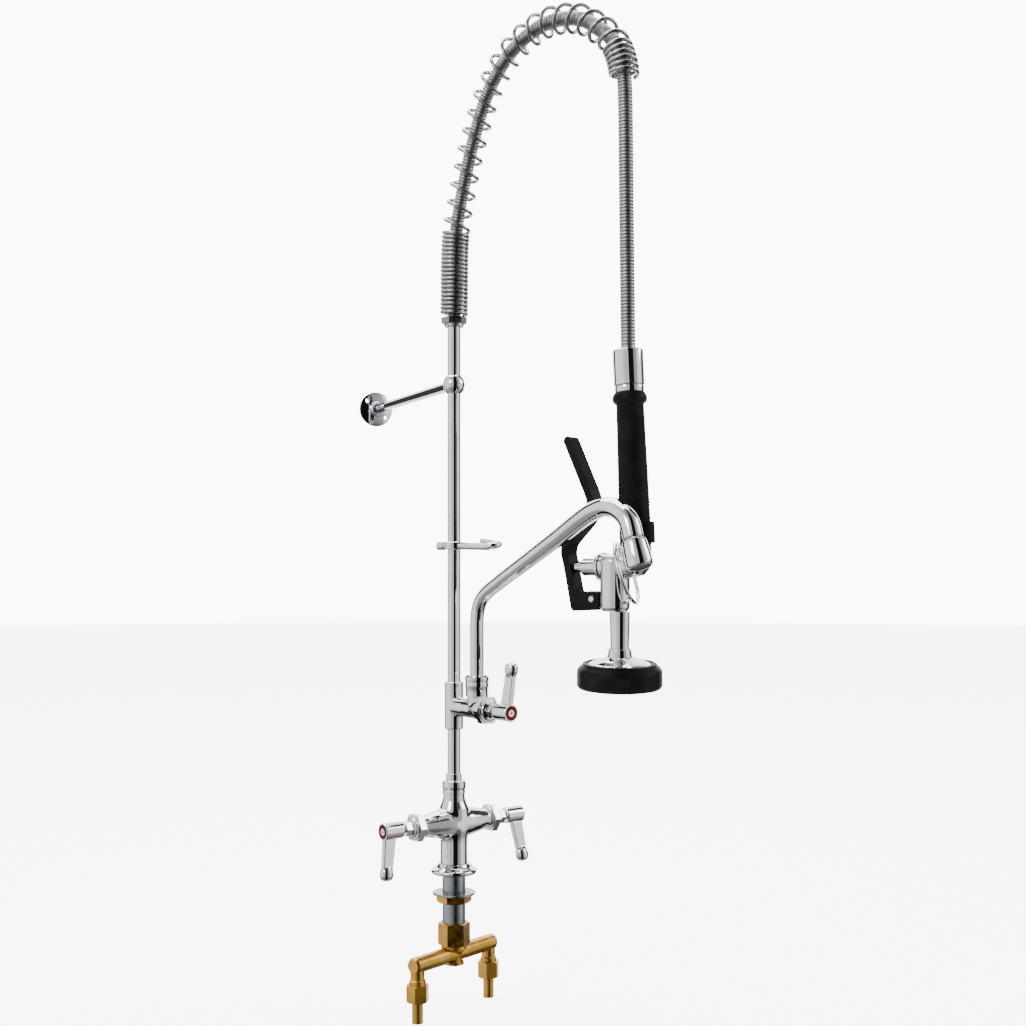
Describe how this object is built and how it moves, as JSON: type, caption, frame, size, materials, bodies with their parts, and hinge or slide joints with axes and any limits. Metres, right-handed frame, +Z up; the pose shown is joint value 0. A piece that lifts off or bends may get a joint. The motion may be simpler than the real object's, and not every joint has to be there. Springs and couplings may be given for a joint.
{
  "type": "pre rinse faucet",
  "caption": "Deck-mounted pre-rinse faucet with lever valves, swing spout, overhead spring, flexible hose and squeeze-lever spray valve.",
  "frame": {"origin": "centre of the deck flange's underside, where the faucet stands on the deck", "axes": "+Z up the riser, -Y towards the user and along the resting spout, X through the hot valve at -X and the cold valve at +X"},
  "size_m": [0.227, 0.6654, 1.2552],
  "materials": {
    "chrome": "polished chrome plate",
    "zinc_steel": "satin zinc-plated steel",
    "stainless": "bright stainless",
    "brass": "satin raw brass",
    "rubber": "black moulded rubber",
    "lever_plastic": "black satin coating",
    "index_red": "dark red with a pale centre"
  },
  "bodies": {
    "stand": {"deck_flange": "chrome", "valve_body": "chrome", "riser_collar": "chrome", "lower_nipple": "chrome", "riser_tube": "chrome", "tee_body": "chrome", "hot_bonnet": "chrome", "cold_bonnet": "chrome", "spout_valve_bonnet": "chrome", "hot_packing_nut": "chrome", "cold_packing_nut": "chrome", "spout_valve_packing_nut": "chrome", "spout_nut": "chrome", "hook": "chrome", "hook_thumbscrew": "chrome", "bracket_arm": "chrome", "wall_flange": "chrome", "hose_ferrule": "chrome", "shank": "zinc_steel", "deck_washer": "zinc_steel", "spring_nut": "zinc_steel", "hose": "stainless", "spring": "stainless", "lock_nut": "brass", "coupling_nut": "brass", "supply_yoke": "brass", "tail_nut_left": "brass", "tail_nut_right": "brass", "tail_tube_left": "brass", "tail_tube_right": "brass"},
    "hot_valve": {"hot_stem": "brass", "hot_handle": "chrome", "hot_index_button": "index_red"},
    "cold_valve": {"cold_stem": "brass", "cold_handle": "chrome", "cold_index_button": "index_red"},
    "spout_valve": {"spout_valve_stem": "brass", "spout_valve_handle": "chrome", "spout_valve_index_button": "index_red"},
    "spout": {"spout_tube": "chrome", "nozzle_collar": "chrome", "aerator": "zinc_steel"},
    "spray_valve": {"swivel_collar": "chrome", "grip_core": "zinc_steel", "grip": "rubber", "spray_body": "chrome", "spray_bonnet": "chrome", "lever_pivot": "chrome", "spray_neck": "chrome", "spray_dome": "chrome", "spray_bumper": "rubber", "spray_face": "zinc_steel"},
    "squeeze_lever": {"squeeze_lever": "lever_plastic"},
    "plunger": {"plunger": "chrome", "plunger_spring": "stainless"},
    "hold_ring": {"hold_ring": "chrome"}
  },
  "joints": [
    {"name": "hot_handle_turn", "type": "hinge", "parent": "stand", "child": "hot_valve", "pos_m": [-0.052, 0, 0.066], "axis": [-1, 0, 0], "range_deg": [0, 90]},
    {"name": "cold_handle_turn", "type": "hinge", "parent": "stand", "child": "cold_valve", "pos_m": [0.052, 0, 0.066], "axis": [-1, 0, 0], "range_deg": [-12, 78]},
    {"name": "spout_valve_turn", "type": "hinge", "parent": "stand", "child": "spout_valve", "pos_m": [0, -0.062, 0.217], "axis": [0, 1, 0], "range_deg": [0, 90]},
    {"name": "spout_swing", "type": "hinge", "parent": "stand", "child": "spout", "pos_m": [0, -0.0495, 0.26], "axis": [0, 0, 1], "range_deg": [-130, 0]},
    {"name": "spray_swivel", "type": "hinge", "parent": "stand", "child": "spray_valve", "pos_m": [0.04241, -0.28375, 0.648], "axis": [-0.0077, 0.0518, 0.9986], "range_deg": [-180, 0]},
    {"name": "lever_squeeze", "type": "hinge", "parent": "spray_valve", "child": "squeeze_lever", "pos_m": [0.0354, -0.23687, 0.359], "axis": [0.989, 0.1478, 0], "range_deg": [0, 12], "stiffness_Nm_per_rad": 2, "springref_deg": -14.32},
    {"name": "plunger_slide", "type": "slide", "parent": "spray_valve", "child": "plunger", "axis": [0.1478, -0.989, 0], "range_m": [0, 0.008]},
    {"name": "ring_swing", "type": "hinge", "parent": "spray_valve", "child": "hold_ring", "pos_m": [0.03583, -0.2727, 0.42374], "axis": [-0.8241, -0.5664, 0], "range_deg": [-4, 20]}
  ],
  "couplings": [
    {"joint": "plunger_slide", "follows": "lever_squeeze", "m_per_rad": 0.038}
  ]
}
